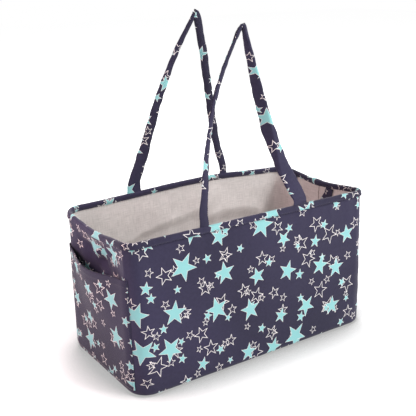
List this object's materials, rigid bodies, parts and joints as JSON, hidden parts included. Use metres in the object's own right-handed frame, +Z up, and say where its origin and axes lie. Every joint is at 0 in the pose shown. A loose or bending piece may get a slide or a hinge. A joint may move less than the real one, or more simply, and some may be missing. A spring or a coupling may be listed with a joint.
{
  "type": "storage bag",
  "caption": "Open-top fabric storage tote with a wire-stiffened rim, end pockets, a flat base and long strap handles that swing.",
  "frame": {"origin": "middle of the base, on the surface the bag stands on", "axes": "+Z up, X along the long sides, +Y from the front side to the back side"},
  "size_m": [0.5874, 0.2952, 0.6544],
  "materials": {
    "printed_cloth": "woven canvas, printed with stars",
    "pocket_cloth": "woven canvas, printed with stars",
    "strap_cloth": "folded woven canvas, printed with stars",
    "lining_cloth": "plain linen-look weave",
    "base_board": "pressed fibreboard",
    "spring_wire": "drawn spring wire"
  },
  "bodies": {
    "bag": {"outer_front": "printed_cloth", "outer_back": "printed_cloth", "bottom_panel": "printed_cloth", "base_board": "base_board", "lining_front": "lining_cloth", "lining_back": "lining_cloth", "lining_floor": "lining_cloth", "rim_wire": "spring_wire", "wire_ferrule": "spring_wire", "rim_casing_front": "printed_cloth", "rim_casing_back": "printed_cloth", "pocket_left": "pocket_cloth", "pocket_right": "pocket_cloth", "front_handle_foot_left": "strap_cloth", "front_handle_foot_right": "strap_cloth", "back_handle_foot_left": "strap_cloth", "back_handle_foot_right": "strap_cloth", "inner_strap_root_front": "strap_cloth", "inner_strap_root_back": "strap_cloth"},
    "front_strap": {"front_handle": "strap_cloth"},
    "back_strap": {"back_handle": "strap_cloth"},
    "inner_loop": {"inner_strap": "strap_cloth"}
  },
  "joints": [
    {"name": "front_handle_swing", "type": "hinge", "parent": "bag", "child": "front_strap", "pos_m": [-0.007, -0.13295, 0.29915], "axis": [1, 0, 0], "range_deg": [-15, 150]},
    {"name": "back_handle_swing", "type": "hinge", "parent": "bag", "child": "back_strap", "pos_m": [-0.007, 0.13295, 0.30785], "axis": [-1, 0, 0], "range_deg": [-10, 150]},
    {"name": "inner_strap_swing", "type": "hinge", "parent": "bag", "child": "inner_loop", "pos_m": [0.27134, 0.0255, 0.25567], "axis": [0, 1, 0], "range_deg": [0, 150]}
  ]
}
